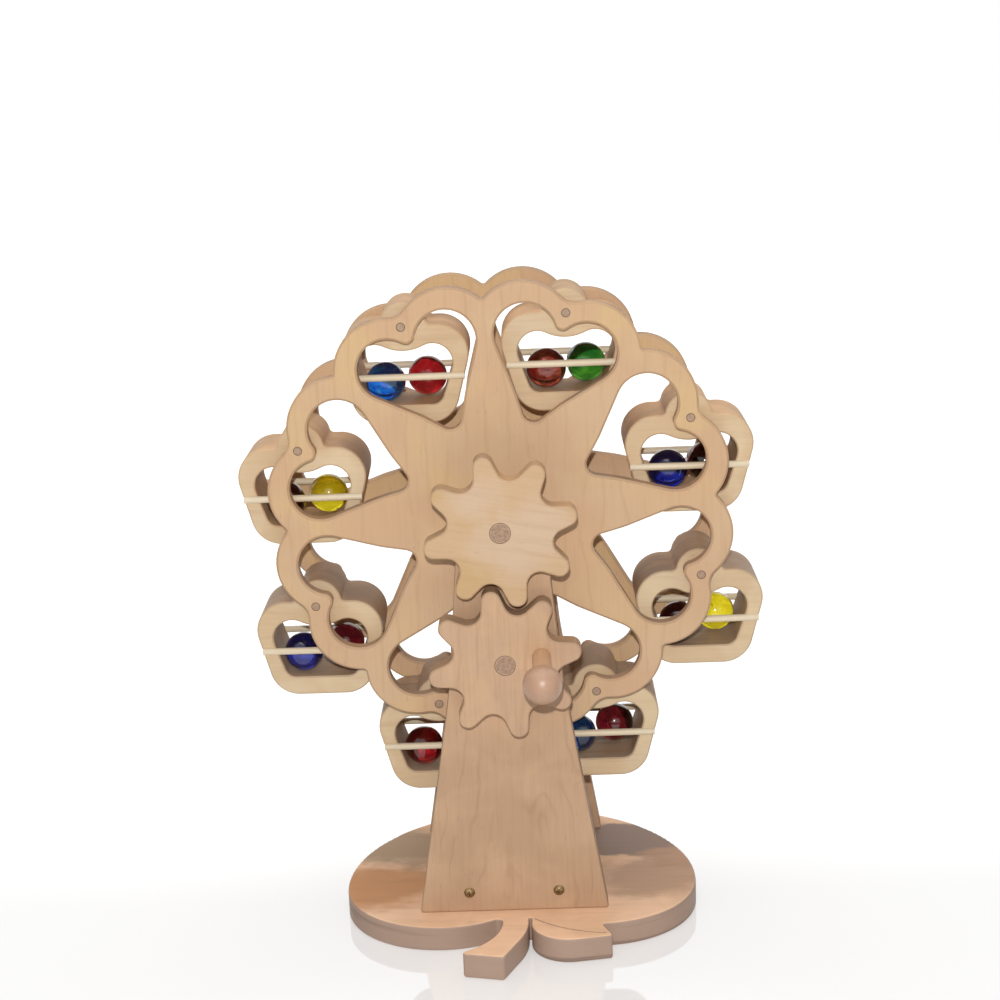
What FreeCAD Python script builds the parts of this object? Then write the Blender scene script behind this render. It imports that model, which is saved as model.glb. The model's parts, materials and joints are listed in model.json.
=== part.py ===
"""Hand-cranked wooden Ferris wheel with glass marbles riding in its gondolas.

Millimetres. The origin is on the underside of the base, below the middle of the wheel.
+Z is up, the crank side faces -Y, and the wheel turns about an axis parallel to Y.
"""
import FreeCAD, Part
import math
import os

Vec = FreeCAD.Vector

# ---------------------------------------------------------------- driving dimensions
marble_diameter = 17.0
marble_play = 0.3            # air kept round a marble at rest
gondola_count = 8

base_thickness = 11.0
base_edge_round = 1.0
apple_side_shift = 3.0       # the apple is cut a little fuller on its right
apple_centre_back = -13.0
apple_radius = 78.5
lobe_radius = 44.0
lobe_angle = 5.0             # how far below its widest line the apple starts to flatten
cleft_radius = 2.2
cleft_aside = 10.6           # the cleft beside the stem lies this far left of the apple's middle
stem_inner_radius = 29.5     # the stem's two sides are arcs about one point
stem_outer_radius = 41.0
stem_inner_angle = 62.0      # how far each side runs round before the stem is cut off
stem_outer_angle = 46.6
stem_corner_radius = 1.5
stem_flare = 1.8             # how much wider the cut end is than the arcs
kerf_radius = 0.6
kerf_angle = 3.0
leaf_radius = 16.3
leaf_gap = 0.5               # from the kerf's round end to the leaf's round side
leaf_lean = 15.2
leaf_reach = 16.5            # how far the tip lies to the right of the leaf's round part
leaf_lift = 8.9              # how far the tip stands out in front of the apple
leaf_tip_radius = 1.4
leaf_notch_radius = 1.5
leaf_notch_aside = 0.3       # the notch under the leaf's tip, left of the tip
vein_width = 0.6
vein_depth = 0.6
vein_sag = 3.0               # how far the leaf's middle vein bows below its straight line
vein_margin = 1.2            # wood left between the vein's ends and the leaf's outline

axle_height = 185.0
axle_radius = 4.5
running_clearance = 0.08
axle_rear_reach = 3.0        # what the wheel's axle shows behind the rear post

post_foot_width = 82.0
post_top_radius = 18.0
post_thickness = 12.0
post_foot_corner = 1.0
post_waist_at = 0.43         # where the post's sides hollow, as a share of their length from the head
post_waist_sag = 3.0         # how far they are drawn in there
post_waist_radius = 150.0
post_edge_round = 0.9
post_front_gap = 8.0         # air between the front post and the wheel
post_rear_gap = 14.0

block_width = 56.0
block_height = 18.0
block_edge_round = 1.0

screw_shank_radius = 1.2
screw_point_length = 3.0
screw_point_radius = 0.15
screw_length = 20.0
screw_head_radius = 2.4
screw_head_height = 1.5
screw_spacing = 39.0
base_screw_spacing = 34.0
base_screw_length = 22.0
base_screw_head_radius = 2.9
base_screw_recess = 0.4
countersink_depth = 2.2

disc_thickness = 7.0
disc_edge_break = 0.9         # the small bevel sanded along the wheel's sawn edges
pivot_circle_radius = 90.0
pin_phase = 25.5             # degrees from +X to the first pivot, counted round the axle
rim_strap = 9.0              # wood outside each lobe of a heart
rim_lobe_aside = 1.0         # the rim's lobes lie this much further apart than the heart's
rim_dimple_radius = 8.0
rim_cleft_radius = 1.5
spoke_width = 7.5            # wood left where two hearts come nearest to each other
heart_tip_inset = 43.5       # from the pivot circle in to the middle of the heart's point
heart_tip_radius = 5.0
heart_lobe_inset = 13.6
heart_nub_reach = 7.6        # how far the nub under the pin reaches in from the pivot circle
heart_nub_radius = 3.6
heart_side_at = 0.36         # where the heart's sides hollow, as a share of their length
heart_side_sag = 0.6
heart_side_radius = 45.0

gondola_depth = 32.0
gondola_side_gap = 2.5       # between a gondola and each disc
gondola_edge_break = 0.6
neck_radius = 10.0
neck_drop = 1.1              # the middle of the neck's round head lies this far below the pin
neck_fillet = 2.2
shoulder_drop = 0.6          # pivot down to the shoulders' tops
shoulder_radius = 13.0
shoulder_wall = 6.9          # wood beside the cavity's lobes
hip_radius = 13.0
hip_wall = 6.7               # wood beside the cavity's lower corners
gondola_drop = 43.0          # pivot down to the gondola's underside
floor_thickness = 8.1        # wood under the floor the marbles lie on
cavity_top_drop = 8.8
cavity_dip_drop = 11.7
cavity_lobe_inset = 4.8      # a lobe's middle is a marble's width less this from the middle
cavity_lobe_radius = 8.4
cavity_corner_inset = 5.6
cavity_corner_radius = 5.0
pivot_pin_radius = 2.0

rail_radius = 1.5
rail_drop = 22.8
rail_inset = 2.0             # each end of a rail stops this far inside the gondola's widest part

gear_teeth = 8
gear_distance = 57.0
gear_outer_radius = 32.4
gear_root_radius = 22.1
tooth_tip_radius = 4.1
tooth_valley_radius = 5.5
gear_thickness = 10.0
gear_edge_break = 0.6
gear_post_gap = 3.0
gear_phase = 12.5            # degrees from +X to a tooth of the wheel's gear
washer_radius = 8.0
hub_radius = 11.0
collar_radius = 9.0
collar_thickness = 5.0
face_play = 0.3              # running play between a turning face and a post

peg_radius = 4.0
peg_throw = 15.6             # from the crank's axle to the peg
peg_angle = 12.0
peg_reach = 34.0             # from the gear's face to the middle of the knob
peg_gear_depth = 8.0
knob_radius = 8.0
peg_knob_depth = 7.0

# ---------------------------------------------------------------- places along the axle
disc_inner = gondola_depth / 2 + gondola_side_gap
disc_outer = disc_inner + disc_thickness
front_post_back = -disc_outer - post_front_gap
front_post_face = front_post_back - post_thickness
rear_post_front = disc_outer + post_rear_gap
rear_post_face = rear_post_front + post_thickness
gear_back = front_post_face - gear_post_gap
gear_face = gear_back - gear_thickness
crank_height = axle_height - gear_distance
heart_lobe_out = pivot_circle_radius - heart_lobe_inset
heart_nub_out = pivot_circle_radius - heart_nub_reach + heart_nub_radius
marble_radius = marble_diameter / 2
block_top = base_thickness + block_height
screw_height = base_thickness + block_height / 2
cavity_floor_drop = gondola_drop - floor_thickness
cavity_lobe_side = marble_diameter - cavity_lobe_inset
cavity_corner_side = marble_diameter - cavity_corner_inset
shoulder_side = cavity_lobe_side + cavity_lobe_radius + shoulder_wall - shoulder_radius
hip_side = cavity_corner_side + cavity_corner_radius + hip_wall - hip_radius
rail_length = 2 * (shoulder_side + shoulder_radius - rail_inset)
tooth_step = 360.0 / gear_teeth
past_face = 1.0              # how far a boring tool runs on past the face it opens
SAME_POINT = 1e-3            # ends of the outline nearer than this are one point

made = {}


# ---------------------------------------------------------------- drawing helpers
def polar(radius, degrees):
    """A point at a distance and an angle from the middle."""
    return radius * math.cos(math.radians(degrees)), radius * math.sin(math.radians(degrees))


def turned(point, degrees):
    """A flat point turned about the middle."""
    c = math.cos(math.radians(degrees))
    s = math.sin(math.radians(degrees))
    return c * point[0] - s * point[1], s * point[0] + c * point[1]


def outward(a, b):
    """The outward direction of the straight run between two pulleys of a belt."""
    ax, ay, ar = a
    bx, by, br = b
    span = math.hypot(bx - ax, by - ay)
    ux = (bx - ax) / span
    uy = (by - ay) / span
    along = max(-1.0, min(1.0, (ar - br) / span))
    across = math.sqrt(1 - along * along)
    return ux * along + uy * across, uy * along - ux * across


def hollow_run(a, b, share, sag, radius):
    """A wide hollow that draws the run between two pulleys in by a sag."""
    nx, ny = outward(a, b)
    x = (a[0] + a[2] * nx) * (1 - share) + (b[0] + b[2] * nx) * share
    y = (a[1] + a[2] * ny) * (1 - share) + (b[1] + b[2] * ny) * share
    return x + (radius - sag) * nx, y + (radius - sag) * ny, -radius


def belt(pulleys):
    """A closed outline that runs like a belt round circles, tangent to each in turn.

    Each pulley is (x, y, radius), in anticlockwise order. A positive radius is a bulge and
    a negative one is a hollow, whose middle lies outside the outline. Gives flat edges.
    """
    count = len(pulleys)
    arrive = [None] * count
    leave = [None] * count
    heading = [None] * count
    for i in range(count):
        after = (i + 1) % count
        ax, ay, ar = pulleys[i]
        bx, by, br = pulleys[after]
        nx, ny = outward(pulleys[i], pulleys[after])
        heading[i] = math.atan2(ny, nx)
        leave[i] = Vec(ax + ar * nx, ay + ar * ny, 0)
        arrive[after] = Vec(bx + br * nx, by + br * ny, 0)
        if leave[i].distanceToPoint(arrive[after]) < SAME_POINT:
            leave[i] = arrive[after]
    edges = []
    for i in range(count):
        x, y, radius = pulleys[i]
        sweep = (heading[i] - heading[i - 1]) % (2 * math.pi)
        if radius < 0:
            sweep -= 2 * math.pi
        halfway = heading[i - 1] + sweep / 2
        top = Vec(x + radius * math.cos(halfway), y + radius * math.sin(halfway), 0)
        edges.append(Part.Arc(arrive[i], top, leave[i]).toShape())
        if leave[i] != arrive[(i + 1) % count]:
            edges.append(Part.LineSegment(leave[i], arrive[(i + 1) % count]).toShape())
    return Part.Wire(edges)


def plate(outline, height):
    """A flat outline thickened upwards."""
    return Part.Face(outline).extrude(Vec(0, 0, height))


def stand_up(shape, x, front, z):
    """Stands a flat plate up: its outline faces -Y, and its thickness runs back from front."""
    shape = shape.copy()
    shape.rotate(Vec(0, 0, 0), Vec(1, 0, 0), 90)
    depth = shape.BoundBox.YMax - shape.BoundBox.YMin
    shape.translate(Vec(x, front + depth, z))
    return shape


def rod(radius, x, z, y_from, y_to):
    """A round bar along the axle's direction."""
    return Part.makeCylinder(radius, y_to - y_from, Vec(x, y_from, z), Vec(0, 1, 0))


def bore(radius, x, z, y_from, y_to):
    """A rod that opens the two faces it is given."""
    return rod(radius, x, z, y_from - past_face, y_to + past_face)


def crossbar(radius, length, y, z):
    """A round bar that lies from left to right, its middle over the origin's line."""
    return Part.makeCylinder(radius, length, Vec(-length / 2, y, z), Vec(1, 0, 0))


def edges_in(shape, planes, axis):
    """Every edge that lies in one of the planes given by their height along an axis."""
    low = axis + "Min"
    high = axis + "Max"
    found = []
    for edge in shape.Edges:
        box = edge.BoundBox
        for plane in planes:
            if abs(getattr(box, low) - plane) < SAME_POINT and abs(getattr(box, high) - plane) < SAME_POINT:
                found.append(edge)
    return found


def round_over(shape, radius, planes, axis="Z"):
    return shape.makeFillet(radius, edges_in(shape, planes, axis))


def bevel(shape, size, planes, axis="Z"):
    return shape.makeChamfer(size, edges_in(shape, planes, axis))


def keep(name, *solids):
    """Files solids under their node's name."""
    made[name] = solids[0] if len(solids) == 1 else Part.makeCompound(list(solids))


# ---------------------------------------------------------------- base
def away(point, radius, degrees):
    """A point at a distance and an angle from another."""
    dx, dy = polar(radius, degrees)
    return point[0] + dx, point[1] + dy


def in_front_of(lobe, x, radius):
    """The middle of a hollow at x that touches the front of one of the apple's lobes."""
    reach = lobe_radius + radius
    return x, lobe[1] - math.sqrt(reach ** 2 - (x - lobe[0]) ** 2)


def base_outline():
    """An apple lying flat, with its stem and one leaf towards the crank."""
    middle = (apple_side_shift, apple_centre_back)
    right = away(middle, apple_radius - lobe_radius, -lobe_angle)
    left = away(middle, apple_radius - lobe_radius, 180 + lobe_angle)
    cleft = in_front_of(left, apple_side_shift - cleft_aside, cleft_radius)
    stem_in = (cleft[0] + cleft_radius - stem_inner_radius, cleft[1])
    end_left = away(stem_in, stem_inner_radius + stem_flare, -stem_inner_angle)
    end_right = away(stem_in, stem_outer_radius + stem_flare, -stem_outer_angle)
    kerf = away(stem_in, stem_outer_radius + kerf_radius, kerf_angle)
    leaf = away(kerf, kerf_radius + leaf_gap + leaf_radius, -leaf_lean)
    notch = in_front_of(right, leaf[0] + leaf_reach - leaf_notch_aside, leaf_notch_radius)
    tip = (notch[0] + leaf_notch_aside, notch[1] - leaf_lift)
    outline = belt([
        (*middle, apple_radius),
        (*left, lobe_radius),
        (*cleft, -cleft_radius),
        (*stem_in, -stem_inner_radius),
        (*end_left, stem_corner_radius),
        (*end_right, stem_corner_radius),
        (*stem_in, stem_outer_radius),
        (*kerf, -kerf_radius),
        (*leaf, leaf_radius),
        (*tip, leaf_tip_radius),
        (*notch, -leaf_notch_radius),
        (*right, lobe_radius),
    ])
    return outline, kerf, tip


def leaf_vein(kerf, tip):
    """The shallow groove along the leaf, from the kerf to near the tip."""
    start = Vec(kerf[0] + kerf_radius + vein_margin, kerf[1] - kerf_radius, 0)
    end = Vec(tip[0] - vein_margin, tip[1] + vein_margin, 0)
    chord = end - start
    side = Vec(chord.y, -chord.x, 0).normalize()
    middle = (start + end) * 0.5 + side * vein_sag
    half = side * (vein_width / 2)
    outline = Part.Wire([
        Part.Arc(start + half, middle + half, end + half).toShape(),
        Part.LineSegment(end + half, end - half).toShape(),
        Part.Arc(end - half, middle - half, start - half).toShape(),
        Part.LineSegment(start - half, start + half).toShape(),
    ])
    groove = plate(outline, vein_depth * 2)
    groove.translate(Vec(0, 0, base_thickness - vein_depth))
    return groove


def wood_screw(length, head, head_height, countersunk):
    """A screw that points along +Z from its head's seat at the origin."""
    straight = length - screw_point_length
    shank = Part.makeCylinder(screw_shank_radius, straight)
    tip = Part.makeCone(screw_shank_radius, screw_point_radius, screw_point_length, Vec(0, 0, straight))
    if countersunk:
        top = Part.makeCone(head, screw_shank_radius, head_height)
    else:
        dome = (head * head + head_height * head_height) / (2 * head_height)
        ball = Part.makeSphere(dome, Vec(0, 0, dome - head_height))
        top = ball.common(Part.makeCylinder(head + past_face, head_height, Vec(0, 0, -head_height)))
    return shank.fuse([tip, top]).removeSplitter()


def placed(shape, x, y, z, direction):
    """A screw set down with its seat at a point and its tip along a direction."""
    shape = shape.copy()
    turn = FreeCAD.Rotation(Vec(0, 0, 1), direction)
    shape.Placement = FreeCAD.Placement(Vec(x, y, z), turn)
    return shape


def make_base():
    outline, kerf, tip = base_outline()
    board = plate(outline, base_thickness)
    board = round_over(board, base_edge_round, (0, base_thickness))
    board = board.cut(leaf_vein(kerf, tip))
    middle = (front_post_back + rear_post_front) / 2
    spots = [middle - base_screw_spacing / 2, middle + base_screw_spacing / 2]
    plain = wood_screw(base_screw_length, base_screw_head_radius, countersink_depth, True)
    screws = [placed(plain, 0, y, base_screw_recess, Vec(0, 0, 1)) for y in spots]
    mouths = [Part.makeCylinder(base_screw_head_radius, base_screw_recess, Vec(0, y, 0)) for y in spots]
    keep("base_board", board.cut(screws + mouths))
    keep("base_screws", *screws)
    return screws


# ---------------------------------------------------------------- posts
def post_outline():
    """A tapered post, drawn in at the waist, whose sides run up tangent to its round head."""
    foot = post_foot_width / 2 - post_foot_corner
    head = (0, axle_height, post_top_radius)
    left = (-foot, base_thickness + post_foot_corner, post_foot_corner)
    right = (foot, base_thickness + post_foot_corner, post_foot_corner)
    return belt([
        head,
        hollow_run(head, left, post_waist_at, post_waist_sag, post_waist_radius),
        left,
        right,
        hollow_run(right, head, 1 - post_waist_at, post_waist_sag, post_waist_radius),
    ])


def make_posts(base_screws):
    bored = axle_radius + running_clearance
    dome = wood_screw(screw_length, screw_head_radius, screw_head_height, False)
    spread = (-screw_spacing / 2, screw_spacing / 2)
    front_screws = [placed(dome, x, front_post_face, screw_height, Vec(0, 1, 0)) for x in spread]
    rear_screws = [placed(dome, x, rear_post_face, screw_height, Vec(0, -1, 0)) for x in spread]
    for name, face in (("front_post", front_post_face), ("rear_post", rear_post_front)):
        post = stand_up(plate(post_outline(), post_thickness), 0, face, 0)
        post = round_over(post, post_edge_round, (face, face + post_thickness), "Y")
        post = post.cut(bore(bored, 0, axle_height, face, face + post_thickness))
        if name == "front_post":
            post = post.cut(bore(bored, 0, crank_height, face, face + post_thickness))
        keep(name, post.cut(front_screws + rear_screws))
    keep("foot_block", block_between_posts().cut(front_screws + rear_screws + base_screws))
    keep("front_post_screws", *front_screws)
    keep("rear_post_screws", *rear_screws)


def block_between_posts():
    """The block on the base that both posts are screwed to, its two long top edges eased."""
    length = rear_post_front - front_post_back
    corner = Vec(-block_width / 2, front_post_back, base_thickness)
    block = Part.makeBox(block_width, length, block_height, corner)
    long_edges = [edge for edge in edges_in(block, (block_top,), "Z") if edge.BoundBox.YLength > length / 2]
    return block.makeFillet(block_edge_round, long_edges)


# ---------------------------------------------------------------- wheel
def pivot_angle(index):
    return pin_phase + 360.0 / gondola_count * index


def pivot(index):
    """Where a gondola's pin crosses the wheel's plane."""
    x, up = polar(pivot_circle_radius, pivot_angle(index))
    return x, axle_height + up


def ring_of(stations):
    """Repeats pulleys given for one heart, out and aside, at every pivot round the wheel."""
    pulleys = []
    for index in range(gondola_count):
        for out, aside, radius in stations:
            x, y = turned((out, aside), pivot_angle(index))
            pulleys.append((x, y, radius))
    return pulleys


def heart_lobe():
    """How far aside a heart's lobe lies and its radius, from the spoke and the nub it touches."""
    half_step = math.radians(180.0 / gondola_count)
    sine = math.sin(half_step)
    cosine = math.cos(half_step)
    room = heart_lobe_out * sine - spoke_width / 2
    far = room + heart_nub_radius
    rise = heart_nub_out - heart_lobe_out
    aside = (math.sqrt(far ** 2 - (sine * rise) ** 2) - far * cosine) / sine ** 2
    return aside, room - cosine * aside


def rim_outline():
    """The scalloped rim: two lobes to a heart, a dimple in each, a cleft between hearts."""
    half_step = 180.0 / gondola_count
    heart_aside, heart_radius = heart_lobe()
    aside = heart_aside + rim_lobe_aside
    radius = heart_radius + rim_strap
    dimple = heart_lobe_out + math.sqrt((radius + rim_dimple_radius) ** 2 - aside ** 2)
    lobe = math.hypot(heart_lobe_out, aside)
    gap = math.radians(half_step) - math.atan2(aside, heart_lobe_out)
    reach = math.sqrt((radius + rim_cleft_radius) ** 2 - (lobe * math.sin(gap)) ** 2)
    cleft = turned((lobe * math.cos(gap) + reach, 0), half_step)
    return belt(ring_of([
        (heart_lobe_out, -aside, radius),
        (dimple, 0, -rim_dimple_radius),
        (heart_lobe_out, aside, radius),
        (*cleft, -rim_cleft_radius),
    ]))


def heart_outline(index):
    """One heart-shaped window, its point towards the axle and its nub at the pivot."""
    aside, radius = heart_lobe()
    point = (pivot_circle_radius - heart_tip_inset, 0, heart_tip_radius)
    low = (heart_lobe_out, -aside, radius)
    high = (heart_lobe_out, aside, radius)
    stations = [
        point,
        hollow_run(point, low, heart_side_at, heart_side_sag, heart_side_radius),
        low,
        (heart_nub_out, 0, -heart_nub_radius),
        high,
        hollow_run(high, point, 1 - heart_side_at, heart_side_sag, heart_side_radius),
    ]
    pulleys = []
    for out, side, bend in stations:
        x, y = turned((out, side), pivot_angle(index))
        pulleys.append((x, y, bend))
    return belt(pulleys)


def make_wheel():
    disc = plate(rim_outline(), disc_thickness)
    windows = [plate(heart_outline(i), disc_thickness) for i in range(gondola_count)]
    disc = disc.cut(windows)
    disc = bevel(disc, disc_edge_break, (0, disc_thickness))
    for name, front in (("front_disc", -disc_outer), ("rear_disc", disc_inner)):
        standing = stand_up(disc, 0, front, axle_height)
        back = front + disc_thickness
        bores = [bore(pivot_pin_radius, *pivot(i), front, back) for i in range(gondola_count)]
        bores.append(bore(axle_radius, 0, axle_height, front, back))
        keep(name, standing.cut(bores))
    pins = [rod(pivot_pin_radius, *pivot(i), -disc_outer, disc_outer) for i in range(gondola_count)]
    keep("gondola_pins", *pins)
    keep("wheel_axle", rod(axle_radius, 0, axle_height, gear_face, rear_post_face + axle_rear_reach))
    keep("wheel_front_hub", ring(hub_radius, axle_height, front_post_back + face_play, -disc_outer))
    keep("wheel_rear_hub", ring(hub_radius, axle_height, disc_outer, rear_post_front - face_play))


def ring(radius, z, y_from, y_to):
    """A turned ring that fits tight on one of the two axles."""
    return rod(radius, 0, z, y_from, y_to).cut(rod(axle_radius, 0, z, y_from, y_to))


# ---------------------------------------------------------------- gears and crank
def gear_blank(phase):
    """A sawn gear of round-ended fingers, its axle hole bored, standing in front of the post."""
    tip = gear_outer_radius - tooth_tip_radius
    valley = gear_root_radius + tooth_valley_radius
    pulleys = []
    for tooth in range(gear_teeth):
        pulleys.append((*polar(tip, phase + tooth_step * tooth), tooth_tip_radius))
        pulleys.append((*polar(valley, phase + tooth_step * (tooth + 0.5)), -tooth_valley_radius))
    blank = plate(belt(pulleys), gear_thickness)
    return bevel(blank, gear_edge_break, (0, gear_thickness))


def make_gears():
    spots = (("wheel", axle_height, gear_phase), ("crank", crank_height, tooth_step / 2 - gear_phase))
    peg_x, peg_up = polar(peg_throw, peg_angle)
    peg_z = crank_height + peg_up
    knob_middle = gear_face - peg_reach
    peg_end = knob_middle + knob_radius - peg_knob_depth
    peg = rod(peg_radius, peg_x, peg_z, peg_end, gear_face + peg_gear_depth)
    for name, height, phase in spots:
        gear = stand_up(gear_blank(phase), 0, gear_face, height)
        gear = gear.cut(bore(axle_radius, 0, height, gear_face, gear_back))
        if name == "crank":
            gear = gear.cut(peg)
        keep(name + "_gear", gear)
        keep(name + "_washer", ring(washer_radius, height, gear_back, front_post_face - face_play))
    collar_front = front_post_back + face_play
    collar_back = collar_front + collar_thickness
    keep("crank_collar", ring(collar_radius, crank_height, collar_front, collar_back))
    keep("crank_axle", rod(axle_radius, 0, crank_height, gear_face, collar_back))
    keep("crank_peg", peg)
    knob = Part.makeSphere(knob_radius, Vec(peg_x, knob_middle, peg_z))
    keep("crank_knob", knob.cut(peg))


# ---------------------------------------------------------------- gondolas and marbles
def gondola_outline():
    """An apple on a round neck: shoulders, sides that taper in, and a flat underside."""
    corner = neck_fillet - shoulder_drop
    rise = corner + neck_drop
    side = math.sqrt((neck_radius + neck_fillet) ** 2 - rise ** 2)
    shoulder = -shoulder_drop - shoulder_radius
    hip = -gondola_drop + hip_radius
    return belt([
        (0, -neck_drop, neck_radius),
        (-side, corner, -neck_fillet),
        (-shoulder_side, shoulder, shoulder_radius),
        (-hip_side, hip, hip_radius),
        (hip_side, hip, hip_radius),
        (shoulder_side, shoulder, shoulder_radius),
        (side, corner, -neck_fillet),
    ])


def cavity_outline():
    """The window the marbles lie in: two lobes above, a shallow dip, and a flat floor."""
    lobe = -cavity_top_drop - cavity_lobe_radius
    depth = -cavity_dip_drop - lobe
    spare = cavity_lobe_radius - depth
    dip_radius = (cavity_lobe_side ** 2 + depth ** 2 - cavity_lobe_radius ** 2) / (2 * spare)
    corner = -cavity_floor_drop + cavity_corner_radius
    return belt([
        (0, -cavity_dip_drop + dip_radius, -dip_radius),
        (-cavity_lobe_side, lobe, cavity_lobe_radius),
        (-cavity_corner_side, corner, cavity_corner_radius),
        (cavity_corner_side, corner, cavity_corner_radius),
        (cavity_lobe_side, lobe, cavity_lobe_radius),
    ])


def gondola_block():
    """One gondola about its own pivot: its window, pin bore, and a groove for each rail."""
    front = -gondola_depth / 2
    block = plate(gondola_outline(), gondola_depth).cut(plate(cavity_outline(), gondola_depth))
    block = bevel(block, gondola_edge_break, (0, gondola_depth))
    block = stand_up(block, 0, front, 0)
    block = block.cut(bore(pivot_pin_radius + running_clearance, 0, 0, front, -front))
    groove_length = 2 * (shoulder_side + shoulder_radius + past_face)
    grooves = [crossbar(rail_radius, groove_length, y, -rail_drop) for y in (front, -front)]
    return block.cut(grooves[0]).cut(grooves[1])


def moved(shape, x, y, z):
    """A copy of a shape, carried along."""
    shape = shape.copy()
    shape.translate(Vec(x, y, z))
    return shape


def make_gondolas():
    """Hangs the gondolas, and gives how far each way from the middle a marble can roll."""
    block = gondola_block()
    half_depth = gondola_depth / 2
    rails = [crossbar(rail_radius, rail_length, y, -rail_drop) for y in (-half_depth, half_depth)]
    rest = -cavity_floor_drop + marble_radius + marble_play
    touch = marble_radius + rail_radius
    roll = half_depth - math.sqrt(touch ** 2 - (rest + rail_drop) ** 2) - marble_play
    apart = marble_radius + marble_play / 2
    ball = Part.makeSphere(marble_radius)
    for index in range(gondola_count):
        x, z = pivot(index)
        name = str(index + 1)
        keep("gondola_" + name, moved(block, x, 0, z))
        keep("gondola_rails_" + name, *[moved(rail, x, 0, z) for rail in rails])
        for side, aside, ahead in (("left", -apart, -roll), ("right", apart, roll)):
            keep("marble_" + name + "_" + side, moved(ball, x + aside, ahead, z + rest))
    return roll


base_screws = make_base()
make_posts(base_screws)
make_wheel()
make_gears()
marble_roll = make_gondolas()

os.makedirs("parts", exist_ok=True)
for name, shape in made.items():
    shape.exportStep("parts/" + name + ".step")
print(len(made), "sub-parts; a marble rolls", round(2 * marble_roll, 3), "mm between its rails")
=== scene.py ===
# %% [markdown]
# # A hand-cranked wooden Ferris wheel
# The toy is sawn from pale boards and joined with dowels. Two heart-pierced discs carry eight hanging
# gondolas, each with two glass marbles between thin rails, and a pair of finger gears turns the wheel.
#
# The imported CAD model is loaded first. Its nodes are the real pieces, in metres, each freed from its
# parent with its place kept in its mesh. This lesson dresses them: it makes the wood, glass and brass,
# and it rebuilds the small turned pieces whose ends and recesses need finer shapes than the CAD has.

# %% The imported model
import bpy
import json
import math
import random
from mathutils import Matrix, Vector


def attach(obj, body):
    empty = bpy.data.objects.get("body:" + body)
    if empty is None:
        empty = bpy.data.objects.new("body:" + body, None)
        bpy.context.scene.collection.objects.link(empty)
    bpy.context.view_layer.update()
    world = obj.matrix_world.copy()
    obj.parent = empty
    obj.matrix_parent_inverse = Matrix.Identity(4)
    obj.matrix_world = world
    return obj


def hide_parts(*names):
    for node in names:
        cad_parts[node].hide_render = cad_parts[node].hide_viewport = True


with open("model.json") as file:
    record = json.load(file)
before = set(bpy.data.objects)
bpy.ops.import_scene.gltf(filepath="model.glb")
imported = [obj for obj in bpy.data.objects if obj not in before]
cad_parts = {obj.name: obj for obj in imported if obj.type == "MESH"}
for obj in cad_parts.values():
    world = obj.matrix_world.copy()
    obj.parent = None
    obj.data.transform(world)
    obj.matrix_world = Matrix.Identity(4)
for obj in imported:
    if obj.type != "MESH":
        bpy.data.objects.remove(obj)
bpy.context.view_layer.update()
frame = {"nodes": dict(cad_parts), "record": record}

# %% [markdown]
# ## The camera
# A toy this size is usually shown from about 80 cm away, a little above the axle and looking slightly
# down, so that the top of the base shows. Aiming a camera at a point would do, but here the three turns
# are given one by one, because a hand-held camera also leans a little to one side.

# %% The camera
MM = 0.001
PICTURE = 1000                        # the picture is this many pixels wide and high
FOCAL_PIXELS = 1911.0
EYE = Vector((14.85, -813.3, 385.3)) * MM
YAW, PITCH, ROLL = 0.019, 0.2419, 0.038

side = Vector((math.cos(YAW), math.sin(YAW), 0))
level = Vector((-math.sin(YAW), math.cos(YAW), 0))
ahead = level * math.cos(PITCH) - Vector((0, 0, math.sin(PITCH)))
above = level * math.sin(PITCH) + Vector((0, 0, math.cos(PITCH)))
across = side * math.cos(ROLL) - above * math.sin(ROLL)
upward = side * math.sin(ROLL) + above * math.cos(ROLL)


def put(name, data):
    """Puts a mesh, a lamp or a camera in the scene, as an object."""
    thing = bpy.data.objects.new(name, data)
    bpy.context.scene.collection.objects.link(thing)
    return thing


camera_data = bpy.data.cameras.new("camera")
camera_data.lens = FOCAL_PIXELS / PICTURE * camera_data.sensor_width
camera = put("camera", camera_data)
camera.matrix_world = Matrix((
    (across.x, upward.x, -ahead.x, EYE.x),
    (across.y, upward.y, -ahead.y, EYE.y),
    (across.z, upward.z, -ahead.z, EYE.z),
    (0, 0, 0, 1)))
bpy.context.scene.camera = camera
print("lens", round(camera_data.lens, 1), "mm on a", camera_data.sensor_width, "mm sensor")

# %% [markdown]
# ## Sums on sockets
# Shader maths reads best as sums. A Wire stands for one output of a node. Adding, subtracting or
# multiplying Wires, or raising one to a power, adds Math nodes behind the scenes, so a mask can be
# written as `1 - dark * 0.5`. The reflected forms let a plain number come first.

# %% Wires
def feed(socket, value):
    """Links a Wire to a socket, or sets the socket's own value."""
    if isinstance(value, Wire):
        socket.id_data.links.new(value.output, socket)
    else:
        socket.default_value = value


class Wire:
    """One output of a shader node. Sums on it add Math nodes."""

    def __init__(self, output):
        self.output = output

    def sum_of(self, operation, first, second=0.0):
        node = self.output.id_data.nodes.new("ShaderNodeMath")
        node.operation = operation
        feed(node.inputs[0], first)
        feed(node.inputs[1], second)
        return Wire(node.outputs[0])

    def __add__(self, other):
        return self.sum_of("ADD", self, other)

    __radd__ = __add__

    def __mul__(self, other):
        return self.sum_of("MULTIPLY", self, other)

    __rmul__ = __mul__

    def __sub__(self, other):
        return self.sum_of("SUBTRACT", self, other)

    def __rsub__(self, other):
        return self.sum_of("SUBTRACT", other, self)

    def __pow__(self, other):
        return self.sum_of("POWER", self, other)

    def __abs__(self):
        return self.sum_of("ABSOLUTE", self)


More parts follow.
